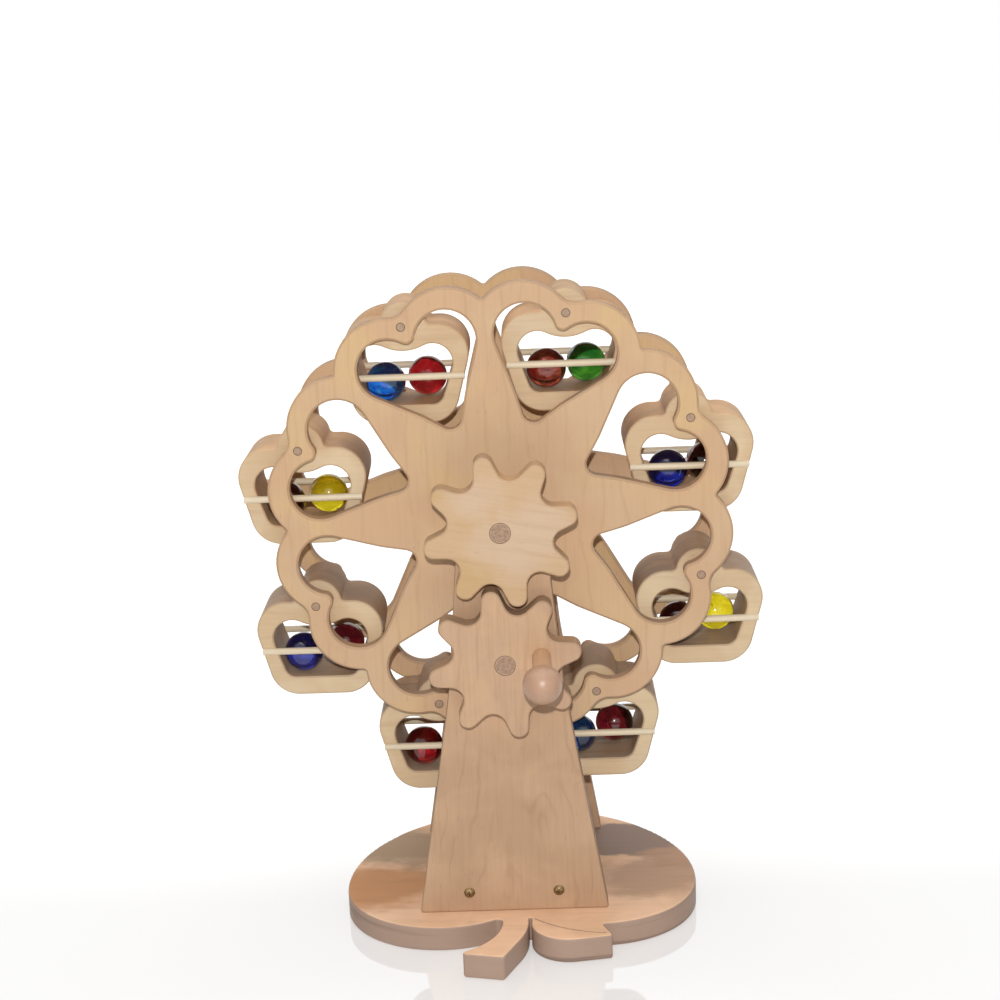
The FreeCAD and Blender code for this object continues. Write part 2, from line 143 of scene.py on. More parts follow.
# %% [markdown]
# ## A tree of nodes
# Every node that isn't a sum comes from one method, `node`, which sets the node's settings first and
# its sockets after. The rest are short names for the nodes used most: stretching coordinates, noise,
# blending two colours, and fading between two values. The world has such a tree too, so the tree comes
# before the finish.

# %% Trees
class Tree:
    """Adds nodes to one node tree."""

    def __init__(self, owner):
        owner.use_nodes = True
        self.tree = owner.node_tree

    def node(self, kind, settings=None, inputs=None, output=0):
        """Adds any node: its settings first, then the values or links of its sockets."""
        node = self.tree.nodes.new("ShaderNode" + kind)
        for name, value in (settings or {}).items():
            setattr(node, name, value)
        for socket, value in (inputs or {}).items():
            feed(node.inputs[socket], value)
        return Wire(node.outputs[output])

    def maths(self, operation, first, second=0.0):
        """The sums that have no sign of their own, such as a sine or the larger of two."""
        return self.node("Math", {"operation": operation}, {0: first, 1: second})

    def place(self):
        """The piece's own coordinates, in metres, which stay with it as it moves."""
        return self.node("TexCoord", output="Object")

    def part(self, vector, axis):
        return self.node("SeparateXYZ", None, {0: vector}, axis)

    def facing(self, axis):
        """How far a surface faces along an axis, either way, from 0 to 1."""
        return abs(self.part(self.node("TexCoord", output="Normal"), axis))

    def stretch(self, vector, factors):
        return self.node("VectorMath", {"operation": "MULTIPLY"}, {0: vector, 1: factors})

    def shift(self, vector, offset):
        return self.node("VectorMath", {"operation": "ADD"}, {0: vector, 1: offset})

    def length(self, vector):
        return self.node("VectorMath", {"operation": "LENGTH"}, {0: vector}, "Value")

    def noise(self, vector, detail=2.0, rough=0.5, distort=0.0):
        """Cloudy values round 0.5, one lump to a unit of the vector."""
        sockets = {"Vector": vector, "Scale": 1.0, "Detail": detail,
                   "Roughness": rough, "Distortion": distort}
        return self.node("TexNoise", None, sockets)

    def fade(self, value, low, high):
        """Rises smoothly from 0 at low to 1 at high."""
        sockets = {"Value": value, "From Min": low, "From Max": high}
        return self.node("MapRange", {"interpolation_type": "SMOOTHSTEP"}, sockets)

    def tint(self, factor, first, second):
        """Blends from one colour to another."""
        settings = {"data_type": "RGBA"}
        return self.node("Mix", settings, {0: factor, 6: first, 7: second}, 2)


# %% [markdown]
# ## A finish under construction
# A Finish is a material's tree with its Principled shader. Numbers that are the same all over go
# straight on the shader when the finish is made. What varies over the surface is linked at the end by
# `coat`, after `relief` has let the grain stand out a little.

# %% Finishes
class Finish(Tree):
    """A material being mixed."""

    def __init__(self, name, **sockets):
        self.material = bpy.data.materials.new(name)
        super().__init__(self.material)
        self.shader = self.tree.nodes["Principled BSDF"]
        self.coat(**sockets)

    def relief(self, height, depth):
        """Lets a height stand out of the surface, by a depth in metres."""
        bump = self.node("Bump", None, {"Strength": 1.0, "Distance": depth, "Height": height})
        feed(self.shader.inputs["Normal"], bump)

    def coat(self, **sockets):
        for socket, value in sockets.items():
            feed(self.shader.inputs[socket.replace("_", " ")], value)
        return self.material


def colour(red, green, blue):
    return red, green, blue, 1.0


def shade(tone, share):
    """A colour made darker, to a share of its brightness."""
    return tuple(part * share for part in tone[:3]) + (1.0,)


def deepen(tone, share):
    """Darker wood: it deepens towards red-brown, so its blue falls faster than its red."""
    red, green, blue = tone[:3]
    return red * share ** 0.7, green * share, blue * share ** 1.3, 1.0


def greyed(tone, share):
    """Weathered wood: darker and greyer, as it loses its red first."""
    red, green, blue = tone[:3]
    return red * share ** 1.15, green * share, blue * share ** 0.65, 1.0


# %% [markdown]
# ## Pale wood
# The boards are a fine-grained pale wood, sanded and lightly oiled. Four things make it read as wood.
# Its colour drifts in large soft patches, from cream to peach to orange, as oil and heartwood have it.
# Thin growth lines wander over a flat-sawn face in long arches: they are the distance from a pith that
# lies off the board, bent by a slow noise, and each line comes and goes. Fine streaks run along the
# grain, with a few short dark flecks. And sawn sides show the board's layers instead of its face.
#
# Painting this as an image would need unwrapping. Working from the piece's own coordinates needs none,
# and neighbouring pieces never repeat.

# %% Marks of the wood
X, Y, Z = 0, 1, 2
FULL_TURN = 2 * math.pi
LINE_SHARPNESS = 14.0


def along(axis, lengthwise, crosswise):
    """Factors for stretching: one along an axis, the other across it."""
    return tuple(lengthwise if i == axis else crosswise for i in range(3))


def patches(w, place, size, seed, sharp=0.10):
    """Large soft areas, about a size in metres across, from 0 to 1."""
    spread = w.shift(w.stretch(place, (1 / size, 1 / size, 1 / size)), (seed, seed * 1.7, seed * 2.3))
    return w.fade(w.noise(spread, 3.0, 0.5, 0.4), 0.5 - sharp, 0.5 + sharp)


def growth_lines(w, place, grain, pith, apart, wander):
    """Thin lines round a pith, drawn out along the grain, each one coming and going."""
    from_pith = w.stretch(w.shift(place, tuple(-v for v in pith)), along(grain, 0.14, 1.0))
    bend = w.noise(w.stretch(place, along(grain, 22.0, 55.0)), 2.0, 0.55)
    wave = w.maths("SINE", (w.length(from_pith) + bend * wander) * (FULL_TURN / apart))
    elsewhere = w.shift(w.stretch(place, along(grain, 25.0, 90.0)), (5.0, 2.0, 9.0))
    strength = w.fade(w.noise(elsewhere), 0.36, 0.64)
    return (wave * 0.5 + 0.5) ** LINE_SHARPNESS * strength


def layers(w, place, thickness, fine):
    """Faint dark lines on a sawn side, one for each layer of the board, of uneven width."""
    lines = w.noise(w.stretch(place, along(thickness, fine, 9.0)), 2.0, 0.6)
    return w.fade(lines, 0.52, 0.72)


# %% [markdown]
# ## Regions of a board
# Heartwood, sapwood and stains have their own places in a board, which noise alone wouldn't find, and
# so has the shade painted into the base's colour. A region is a soft round area whose border is ruffled
# by noise. The plane says how its distances are counted: not at all through the board's thickness, and
# a little more in one direction, so that the region is wider than it is high.
# region is a soft round area whose border is ruffled by noise. The plane says how its distances are
# counted: not at all through the board's thickness, and a little more in one direction, so that the
# region is wider than it is high.

# %% Regions
UPRIGHT, LYING = (1.0, 0.0, 1.3), (1.0, 1.6, 0.0)
RUFFLE_REACH = 0.055


def region(w, place, middle, plane, radius, soft):
    """A ruffled round region of a board, in mm, from 0 outside to 1 inside."""
    ruffle = w.noise(w.stretch(place, (34.0, 60.0, 30.0)), 4.0, 0.6)
    offset = w.stretch(w.shift(place, tuple(-v * MM for v in middle)), plane)
    distance = w.length(offset) + (ruffle - 0.5) * RUFFLE_REACH
    return 1 - w.fade(distance, (radius - soft) * MM, (radius + soft) * MM)


# %% [markdown]
# ## A board's finish
# The marks are laid over each other from the largest to the smallest. The shader's Normal tells a face
# from a sawn side: patches and growth lines belong to the face, layers to the sides.

# %% A board's finish
GRAIN_DEPTH = 0.05 * MM
SIDE_COVER = 0.85


def wood(name, tones, side, grain, thickness, pith, patch=0.040, apart=0.0075, wander=0.012,
         lines=0.30, streaky=0.16, layered=0.30, tilt=0.0, laid=()):
    """A board's finish. Tones are its main, second and third colour; side is that of sawn sides.
    Patch, apart and wander are lengths in metres: a patch's size, the gap between growth lines and
    how far they bend. Lines, streaky and layered say how strongly each mark shows. Tilt turns the
    grain in an upright board, in radians. A region laid on it has a middle, a radius, a softness
    and a colour."""
    w = Finish(name, Specular_IOR_Level=0.15)
    plain_place = w.place()
    place = w.node("VectorRotate", {"rotation_type": "Y_AXIS"}, {"Vector": plain_place, "Angle": tilt})
    main, second, third = tones
    seed = 1.0 + pith[0] * 10
    tone = w.tint(patches(w, place, patch, seed), main, second)
    tone = w.tint(patches(w, place, patch * 0.7, seed + 4.0) * 0.8, tone, third)
    for middle, radius, soft, laid_tone in laid:
        tone = w.tint(region(w, plain_place, middle, UPRIGHT, radius, soft) * 0.9, tone, laid_tone)
    flat = w.fade(w.facing(thickness), 0.55, 0.85)
    side_tone = w.tint(patches(w, place, 0.022, seed + 7.0, 0.18), side, greyed(side, 0.72))
    tone = w.tint((1 - flat) * SIDE_COVER, tone, side_tone)
    tone = w.tint(layers(w, place, thickness, 420.0) * (1 - flat) * layered, tone, deepen(side, 0.50))
    rings = growth_lines(w, place, grain, pith, apart, wander) * flat
    tone = w.tint(rings * lines, tone, deepen(third, 0.42))
    streaks = w.noise(w.stretch(place, along(grain, 34.0, 750.0)), 3.0, 0.6)
    tone = w.tint(w.fade(streaks, 0.42, 0.74) * streaky, tone, deepen(third, 0.55))
    flecks = w.fade(w.noise(w.stretch(place, along(grain, 190.0, 1500.0)), 1.0), 0.70, 0.80)
    tone = w.tint(flecks * 0.22, tone, shade(side, 0.45))
    w.relief(streaks * 0.6 - flecks * 0.6 - rings * 0.4, GRAIN_DEPTH)
    return w.coat(Base_Color=tone, Roughness=0.48 + streaks * 0.14)


# %% [markdown]
# ## The boards' woods
# Each kind of board gets its own finish, with its own pith, so that no two boards show the same lines.
# The upper gear's grain leans a little, and it has two pinkish regions. The gondolas share one wood,
# but the four that hang below the axle get a copy with painted shade: darker, greyer sawn sides with
# stronger layer lines, for the shade that the wheel and the gondolas above cast on their tops.

# %% The boards' woods
pinkish = colour(0.62, 0.450, 0.310)
post_wood = wood(
    "post wood", (colour(0.55, 0.362, 0.228), colour(0.59, 0.385, 0.240), colour(0.50, 0.320, 0.200)),
    colour(0.42, 0.265, 0.16), Z, Y, (0.004, -0.0285, -0.10), apart=0.0044, wander=0.013, lines=0.20)
disc_wood = wood(
    "disc wood", (colour(0.62, 0.425, 0.262), colour(0.65, 0.440, 0.235), colour(0.60, 0.385, 0.235)),
    colour(0.56, 0.350, 0.205), Z, Y, (0.30, 0.09, 0.10), patch=0.055, lines=0.14, streaky=0.10)
gear_wood = wood(
    "gear wood", (colour(0.58, 0.385, 0.220), colour(0.56, 0.370, 0.190), colour(0.59, 0.405, 0.250)),
    colour(0.60, 0.38, 0.21), X, Y, (0.20, 0.03, 0.30), patch=0.030, lines=0.14, streaky=0.18, tilt=-0.17,
    laid=(((7, 0, 180), 18, 9, pinkish), ((-12, 0, 198), 12, 8, pinkish)))
crank_gear_wood = wood(
    "crank gear wood", (colour(0.56, 0.372, 0.238), colour(0.59, 0.385, 0.235), colour(0.52, 0.335, 0.220)),
    colour(0.52, 0.33, 0.19), Z, Y, (0.13, 0.02, -0.20), patch=0.030, lines=0.18, streaky=0.20)
gondola_tones = (colour(0.68, 0.530, 0.350), colour(0.72, 0.560, 0.360), colour(0.64, 0.455, 0.275))
gondola_wood = wood("gondola wood", gondola_tones, colour(0.74, 0.445, 0.235),
                    X, Y, (0.40, 0.12, 0.30), lines=0.12, streaky=0.14, layered=0.26)
# painted shade: a darker, greyer copy of the gondola wood, for the four gondolas that hang low
shaded_gondola_wood = wood("grey gondola wood", gondola_tones, colour(0.58, 0.385, 0.245),
                         X, Y, (0.40, 0.12, 0.30), lines=0.12, streaky=0.14, layered=0.45)
block_wood = wood(
    "block wood", (colour(0.58, 0.39, 0.25), colour(0.60, 0.40, 0.24), colour(0.52, 0.34, 0.22)),
    colour(0.48, 0.32, 0.21), Y, Z, (0.02, 0.20, 0.10))
print("seven plain woods")

# %% [markdown]
# ## The base's board
# The base comes from the middle of the tree, where sapwood and heartwood meet: the left shoulder is a
# strong orange, and the front is light peach. The grey-brown band that crosses behind the wheel is
# painted shadow, the wheel's shade laid into the board's colour. The same grain serves, but the patches
# are placed one by one: each is a soft-edged region of the board, its border ruffled by noise, and they
# are laid over each other in turn.

# %% Base wood
peach, dull_peach = colour(0.90, 0.590, 0.385), colour(0.80, 0.510, 0.320)
bark_side = colour(0.375, 0.265, 0.215)
late_wood = colour(0.30, 0.16, 0.08)
base_regions_and_shadow = (                      # middle x, middle y, radius and softness in mm, colour
    (-72, -17, 37, 15, colour(0.56, 0.265, 0.110)),
    # painted shadow: this region and the next are the wheel's shade on the board, painted grey-brown
    (-50, 24, 34, 13, colour(0.40, 0.270, 0.165)),
    (2, 42, 34, 8, colour(0.40, 0.26, 0.16)),
    (62, -14, 36, 14, colour(0.50, 0.310, 0.200)),
    # painted shadow: the darkest part of the wheel's shade, behind its lower right gondolas
    (52, 27, 31, 5, colour(0.255, 0.178, 0.143)),
    (78, 4, 19, 7, colour(0.48, 0.285, 0.180)),
)


def board_of_the_base():
    w = Finish("base wood", Specular_IOR_Level=0.20)
    place = w.place()
    tone = w.tint(patches(w, place, 0.035, 2.0), peach, dull_peach)
    for x, y, radius, soft, laid in base_regions_and_shadow:
        tone = w.tint(region(w, place, (x, y, 0), LYING, radius, soft) * 0.95, tone, laid)
    flat = w.fade(w.facing(Z), 0.55, 0.85)
    tone = w.tint((1 - flat) * SIDE_COVER, tone, bark_side)
    tone = w.tint(layers(w, place, Z, 260.0) * (1 - flat) * 0.70, tone, shade(bark_side, 0.40))
    streaks = w.noise(w.stretch(place, along(X, 30.0, 500.0)), 3.0, 0.6)
    tone = w.tint(w.fade(streaks, 0.42, 0.74) * 0.07, tone, late_wood)
    rings = growth_lines(w, place, X, (0.3, 0.05, 0.05), 0.011, 0.03) * flat
    tone = w.tint(rings * 0.12, tone, late_wood)
    w.relief(streaks * 0.6 - rings * 0.4, GRAIN_DEPTH)
    return w.coat(Base_Color=tone, Roughness=0.44 + streaks * 0.14)


# %% [markdown]
# ## Dressing the boards
# The boards keep the CAD's shapes, whose edges are already eased. A finish goes into the piece's
# material slot, in place of whatever was there.

# %% Dressed boards
GONDOLAS = range(1, 9)
LAST_UPPER_GONDOLA = 4                  # gondolas 1 to 4 hang above the axle; 5 to 8 have painted shade on their sawn sides
finishes = {
    "base_board": board_of_the_base(), "foot_block": block_wood, "front_post": post_wood,
    "rear_post": post_wood, "front_disc": disc_wood, "rear_disc": disc_wood,
    "wheel_gear": gear_wood, "crank_gear": crank_gear_wood,
}
for k in GONDOLAS:
    finishes["gondola_" + str(k)] = gondola_wood if k <= LAST_UPPER_GONDOLA else shaded_gondola_wood


def dress(piece, material):
    piece.data.materials.clear()
    piece.data.materials.append(material)


for name, material in finishes.items():
    dress(frame["nodes"][name], material)
print(len(finishes), "boards dressed in", len(set(m.name for m in finishes.values())), "woods")

# %% [markdown]
# ## Turned wood
# Rails, pins, axles, washers, hubs, the peg and its ball are turned or bought as round stock. Each is a
# profile swept round an axis, so one function makes them all. It takes the profile as pairs of radius
# and height and remembers, at every point, how far out it lies. The finish uses that to tell the end
# grain's dark heart from its paler rim.

# %% The lathe
def turned(name, profile, spots, segments, carve=None, closed=False):
    """Sweeps a profile of (radius, height) round each of the spots, given as (foot, direction), in mm.
    Carve moves a point up or down its axis, and a closed profile is a ring's section."""
    points, faces, outness = [], [], []
    widest = max(radius for radius, _ in profile)
    for foot, direction in spots:
        spin = Vector((0, 0, 1)).rotation_difference(Vector(direction)).to_matrix()
        rings = []
        for radius, height in profile:
            count = segments if radius > 0 else 1
            ring = []
            for i in range(count):
                turn = FULL_TURN * i / count
                x, y = radius * math.cos(turn), radius * math.sin(turn)
                lift = carve(x, y, height) if carve else height
                ring.append(len(points))
                points.append((Vector(foot) + spin @ Vector((x, y, lift))) * MM)
                outness.append(radius / widest)
            rings.append(ring)
        above_each = rings[1:] + (rings[:1] if closed else [])
        for low, high in zip(rings, above_each):
            for i in range(segments):
                corners = [low[i % len(low)], low[(i + 1) % len(low)],
                           high[(i + 1) % len(high)], high[i % len(high)]]
                faces.append(list(dict.fromkeys(corners)))
    mesh = bpy.data.meshes.new(name)
    mesh.from_pydata(points, [], faces)
    mesh.attributes.new("outness", "FLOAT", "POINT").data.foreach_set("value", outness)
    return put(name, mesh)


def soft_shade(piece, degrees=32.0):
    """Smooth shading that keeps edges sharper than an angle."""
    piece.data.shade_smooth()
    piece.data.set_sharp_from_angle(angle=math.radians(degrees))


CORNER_STEPS = 4
END_RINGS = (0.45, 0.72, 0.80, 0.86)


def eased_corner(radius, ease):
    """A small quarter round from a bar's end to its side."""
    turns = [math.pi / 2 * i / CORNER_STEPS for i in range(CORNER_STEPS + 1)]
    return [(radius - ease + ease * math.sin(t), ease - ease * math.cos(t)) for t in turns]


def bar_profile(radius, length, ease):
    """A round bar, its ends eased. Extra rings on each end carry the end grain's colours."""
    end = [(0.0, 0.0)] + [(radius * share, 0.0) for share in END_RINGS]
    end = [(r, h) for r, h in end if r < radius - ease] + eased_corner(radius, ease)
    return end + [(r, length - h) for r, h in reversed(end)]


# %% [markdown]
# ## Round stock
# The dowels are the same pale wood. Their ends are cut across the grain: the cut drinks the oil and
# dries grey-brown and mottled. Round the dowel runs a thin dark line of glue, where it meets its hole.
# The thick axles have one more line, which the turning tool leaves further in.

# %% The dowel finishes
def round_stock(name, side_tone, heart, rim, glue, grain, inner_line=0.0, glued=0.86):
    """A dowel's finish. Its ends go from heart to rim, and from the share glued outwards to the glue."""
    w = Finish(name, Specular_IOR_Level=0.3)
    place = w.place()
    streaks = w.noise(w.stretch(place, along(grain, 30.0, 1500.0)), 3.0, 0.6)
    clouds = w.noise(w.stretch(place, (60.0, 60.0, 60.0)), 2.0)
    out = w.node("Attribute", {"attribute_name": "outness"}, None, "Fac")
    ends = w.fade(w.facing(grain), 0.75, 0.95)
    mottle = w.noise(w.stretch(place, (650.0, 650.0, 650.0)), 3.0, 0.65)
    specks = w.fade(w.noise(w.stretch(place, (1700.0, 1700.0, 1700.0)), 2.0, 0.6), 0.54, 0.68)
    long_tone = w.tint(w.fade(streaks, 0.45, 0.75) * 0.35, side_tone, shade(side_tone, 0.72))
    long_tone = w.tint(w.fade(clouds, 0.4, 0.7) * 0.25, long_tone, shade(side_tone, 0.85))
    end_tone = heart
    if inner_line:
        end_tone = w.tint(w.fade(out, inner_line - 0.02, inner_line + 0.02), heart, rim)
        rises = w.fade(out, inner_line - 0.07, inner_line)
        falls = w.fade(out, inner_line, inner_line + 0.05)
        end_tone = w.tint(rises * (1 - falls) * 0.55, end_tone, glue)
    end_tone = w.tint(w.fade(mottle, 0.40, 0.62) * 0.6, end_tone, shade(rim, 1.05))
    end_tone = w.tint(specks * 0.5, end_tone, shade(heart, 0.55))
    end_tone = w.tint(w.fade(out, glued, glued + 0.09) * 0.85, end_tone, glue)
    tone = w.tint(ends, long_tone, end_tone)
    w.relief(streaks * 0.5 - specks * ends * 0.6, GRAIN_DEPTH)
    return w.coat(Base_Color=tone, Roughness=0.42 + mottle * ends * 0.25)


cream = colour(0.76, 0.64, 0.46)
oak_line = colour(0.17, 0.105, 0.065)
end_heart = colour(0.33, 0.20, 0.130)
end_rim = colour(0.47, 0.32, 0.215)
rail_wood = round_stock("rail wood", cream, colour(0.52, 0.38, 0.25), end_rim, end_heart, X)
pin_wood = round_stock("pin wood", colour(0.62, 0.46, 0.31), colour(0.37, 0.245, 0.165), end_rim,
                       oak_line, Y, glued=0.72)
axle_wood = round_stock("axle wood", colour(0.62, 0.37, 0.215), end_heart, end_rim, oak_line, Y,
                        inner_line=0.80)
print("three dowel finishes")

# %% [markdown]
# ## Where things are
# These are the driving sizes of the toy, in millimetres, for the pieces that are rebuilt here. The
# depths run from the wheel's middle outwards: gondola, disc, post, washer and gear.

# %% Places
AXLE_HEIGHT, CRANK_HEIGHT = 185.0, 128.0
PIVOT_CIRCLE, FIRST_PIVOT, PIVOT_STEP = 90.0, 25.5, 45.0
GONDOLA_DEPTH, SIDE_GAP, DISC_THICKNESS = 32.0, 2.5, 7.0
POST_THICKNESS, GEAR_THICKNESS, WASHER_GAP = 12.0, 10.0, 3.0
FRONT_HUB_ROOM, REAR_HUB_ROOM = 8.0, 14.0
DISC_OUTER = GONDOLA_DEPTH / 2 + SIDE_GAP + DISC_THICKNESS
FRONT_POST_BACK = -DISC_OUTER - FRONT_HUB_ROOM
FRONT_POST_FACE = FRONT_POST_BACK - POST_THICKNESS
REAR_POST_FRONT = DISC_OUTER + REAR_HUB_ROOM
REAR_POST_FACE = REAR_POST_FRONT + POST_THICKNESS
GEAR_BACK = FRONT_POST_FACE - WASHER_GAP
GEAR_FACE = GEAR_BACK - GEAR_THICKNESS
FACE_PLAY = 0.3
AXLE_RADIUS, PIN_RADIUS, RAIL_RADIUS = 4.5, 2.0, 1.5
AXLE_SHOWS_BEHIND = 3.0
COLLAR_LENGTH = 5.0
TO_RIGHT, TO_BACK = (1, 0, 0), (0, 1, 0)


def pivot(k):
    """Where gondola k's pin crosses the wheel, counted from 1."""
    turn = math.radians(FIRST_PIVOT + PIVOT_STEP * (k - 1))
    return PIVOT_CIRCLE * math.cos(turn), AXLE_HEIGHT + PIVOT_CIRCLE * math.sin(turn)


def settle(piece, body, slot, material, *nodes):
    """Gives a new piece its finish and its body, and hides the CAD nodes it stands for."""
    dress(piece, material)
    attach(piece, body)
    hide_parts(*nodes)


print("the gears' faces lie", -GEAR_FACE, "mm in front of the wheel's middle")

# %% [markdown]
# ## Rails, pins and axles
# A rail crosses each gondola's front and another its back, glued into shallow grooves. The pins cross
# both discs and end flush with them, and so do the axles in their gears.

# %% Rails, pins and axles
RAIL_DROP, RAIL_LENGTH = 22.8, 51.0
RAIL_EASE, PIN_EASE, AXLE_EASE = 0.25, 0.12, 0.2
for k in GONDOLAS:
    px, pz = pivot(k)
    rail_spots = [((px - RAIL_LENGTH / 2, y, pz - RAIL_DROP), TO_RIGHT)
                  for y in (-GONDOLA_DEPTH / 2, GONDOLA_DEPTH / 2)]
    rails = turned("rails_" + str(k), bar_profile(RAIL_RADIUS, RAIL_LENGTH, RAIL_EASE), rail_spots, 28)
    soft_shade(rails)
    settle(rails, "gondola_" + str(k) + "_car", "dowel_wood", rail_wood, "gondola_rails_" + str(k))

pin_spots = [((pivot(k)[0], -DISC_OUTER, pivot(k)[1]), TO_BACK) for k in GONDOLAS]
pins = turned("pivot_pins", bar_profile(PIN_RADIUS, 2 * DISC_OUTER, PIN_EASE), pin_spots, 32)
soft_shade(pins)
settle(pins, "wheel", "dowel_wood", pin_wood, "gondola_pins")

for name, body, node, height, end in (
        ("long_axle", "wheel", "wheel_axle", AXLE_HEIGHT, REAR_POST_FACE + AXLE_SHOWS_BEHIND),
        ("short_axle", "crank", "crank_axle", CRANK_HEIGHT, FRONT_POST_BACK + FACE_PLAY + COLLAR_LENGTH)):
    section = bar_profile(AXLE_RADIUS, end - GEAR_FACE, AXLE_EASE)
    axle = turned(name, section, [((0, GEAR_FACE, height), TO_BACK)], 64)
    soft_shade(axle)
    settle(axle, body, "dowel_wood", axle_wood, node)
print("8 pairs of rails, 8 pins and 2 axles")

# %% [markdown]
# ## Hubs, washers and the collar
# These are short turned rings. Their rims are eased so that they don't splinter. They grip the axle, so
# the ring's hole is the axle's own size.

# %% Turned rings
def ring_profile(radius, length, ease):
    """A ring's closed section, run from the bore round the outside."""
    corner = eased_corner(radius, ease)
    far_corner = [(r, length - h) for r, h in reversed(corner)]
    return [(AXLE_RADIUS, 0.0)] + corner + far_corner + [(AXLE_RADIUS, length)]


HUB_RADIUS, WASHER_RADIUS, COLLAR_RADIUS, RING_EASE = 11.0, 8.0, 9.0, 0.5
ring_wood = round_stock("ring wood", colour(0.60, 0.42, 0.275), end_rim, end_rim, end_heart, Y)
behind_post = FRONT_POST_BACK + FACE_PLAY
front_hub_length = -DISC_OUTER - behind_post
rear_hub_length = REAR_POST_FRONT - FACE_PLAY - DISC_OUTER
washer_length = WASHER_GAP - FACE_PLAY
turned_rings = (
    ("front_hub", "wheel", "wheel_front_hub", HUB_RADIUS, behind_post, front_hub_length, AXLE_HEIGHT),
    ("rear_hub", "wheel", "wheel_rear_hub", HUB_RADIUS, DISC_OUTER, rear_hub_length, AXLE_HEIGHT),
    ("gear_washer", "wheel", "wheel_washer", WASHER_RADIUS, GEAR_BACK, washer_length, AXLE_HEIGHT),
    ("pinion_washer", "crank", "crank_washer", WASHER_RADIUS, GEAR_BACK, washer_length, CRANK_HEIGHT),
    ("collar", "crank", "crank_collar", COLLAR_RADIUS, behind_post, COLLAR_LENGTH, CRANK_HEIGHT),
)
for name, body, node, radius, start, length, height in turned_rings:
    section = ring_profile(radius, length, RING_EASE)
    piece = turned(name, section, [((0, start, height), TO_BACK)], 64, closed=True)
    soft_shade(piece)
    settle(piece, body, "dowel_wood", ring_wood, node)
print(len(turned_rings), "turned rings")

# %% [markdown]
# ## The crank's peg and ball
# The peg is a plain dowel set into the gear. Its ball is turned from closer wood and sanded smooth by
# many hands, so it shines more than the boards. A lathe leaves faint rings round its axis.

# %% The ball's wood
LATHE_LINES = 9000.0                  # in radians to a metre


def ball_finish():
    w = Finish("ball wood", Coat_Weight=0.45, Coat_Roughness=0.36)
    place = w.place()
    fibre = w.noise(w.stretch(place, along(Y, 60.0, 900.0)), 3.0, 0.6)
    tone = w.tint(patches(w, place, 0.012, 3.0), colour(0.45, 0.265, 0.168), colour(0.42, 0.240, 0.147))
    tone = w.tint(w.fade(fibre, 0.48, 0.78) * 0.35, tone, colour(0.33, 0.19, 0.11))
    lathe = w.maths("SINE", w.part(place, Y) * LATHE_LINES) * 0.5 + 0.5
    w.relief(lathe * 0.3 + fibre * 0.4, 0.04 * MM)
    return w.coat(Base_Color=tone, Roughness=0.38 + fibre * 0.14)


# %% The peg and the ball
PEG_THROW, PEG_TURN, PEG_RADIUS, PEG_IN_GEAR, PEG_EASE = 15.6, math.radians(12.0), 4.0, 8.0, 0.3
PEG_X, PEG_Z = PEG_THROW * math.cos(PEG_TURN), CRANK_HEIGHT + PEG_THROW * math.sin(PEG_TURN)
BALL_RADIUS, BALL_REACH, PEG_IN_BALL, BALL_ROWS = 8.0, 34.0, 7.0, 40
BALL_MIDDLE = GEAR_FACE - BALL_REACH
peg_front = BALL_MIDDLE + BALL_RADIUS - PEG_IN_BALL
peg_length = GEAR_FACE + PEG_IN_GEAR - peg_front
peg_spot = ((PEG_X, peg_front, PEG_Z), TO_BACK)
peg = turned("peg", bar_profile(PEG_RADIUS, peg_length, PEG_EASE), [peg_spot], 48)
soft_shade(peg)
settle(peg, "crank", "dowel_wood", axle_wood, "crank_peg")

mouth = math.sqrt(BALL_RADIUS ** 2 - PEG_RADIUS ** 2)
lip = ((0.55, -0.22), (0.15, -0.12), (0.0, -0.35))    # out from the peg, and up from the mouth
tilts = [math.pi * i / BALL_ROWS for i in range(BALL_ROWS)]
ball_section = [(BALL_RADIUS * math.sin(t), -BALL_RADIUS * math.cos(t)) for t in tilts]
ball_section = [(r, h) for r, h in ball_section if h < mouth + lip[-1][1]]
ball_section += [(PEG_RADIUS + out, mouth + up) for out, up in lip]
ball_section += [(PEG_RADIUS, BALL_RADIUS - PEG_IN_BALL), (0.0, BALL_RADIUS - PEG_IN_BALL)]
ball = turned("ball", ball_section, [((PEG_X, BALL_MIDDLE, PEG_Z), TO_BACK)], 72)
soft_shade(ball)
settle(ball, "crank", "knob_wood", ball_finish(), "crank_knob")
print("the ball is", 2 * BALL_RADIUS, "mm across")

# %% [markdown]
# ## Screws
# Small domed screws hold the posts to the block between them. The head carries a cross recess, which is
# cut into the sweep by lowering the points that fall inside the cross. Old brass is nearly brown, and
# only the dome's crown still shines.

# %% The screws' shapes
SHANK_RADIUS, POINT_LENGTH, POINT_RADIUS, HEAD_ROWS = 1.2, 3.0, 0.15, 24
POST_SCREW, BASE_SCREW = 20.0, 21.6   # from the tip to the head's seat, and to the sunk head's face
HEAD_RADIUS, HEAD_RISE = 2.4, 1.5
SUNK_RADIUS, SUNK_DEPTH = 2.9, 2.2
WALL_SLOPE, END_SLOPE = 0.14, 0.22    # how wide the recess's walls are, seen from above


def clamp(share):
    return min(1.0, max(0.0, share))


def cross_cut(arm, half_width, depth, top):
    """Lowers points near a cross, for the recess of a screw's head."""
    def carve(x, y, height):
        if height < top - 2.0:
            return height
        narrow, wide = min(abs(x), abs(y)), max(abs(x), abs(y))
        taper = half_width * (1.15 - 0.4 * wide / arm)
        return height - depth * (clamp((taper - narrow) / WALL_SLOPE) * clamp((arm - wide) / END_SLOPE))
    return carve


def shank(length):
    """From the tip to just under the head."""
    return [(0.0, -length), (POINT_RADIUS, -length), (SHANK_RADIUS, POINT_LENGTH - length)]


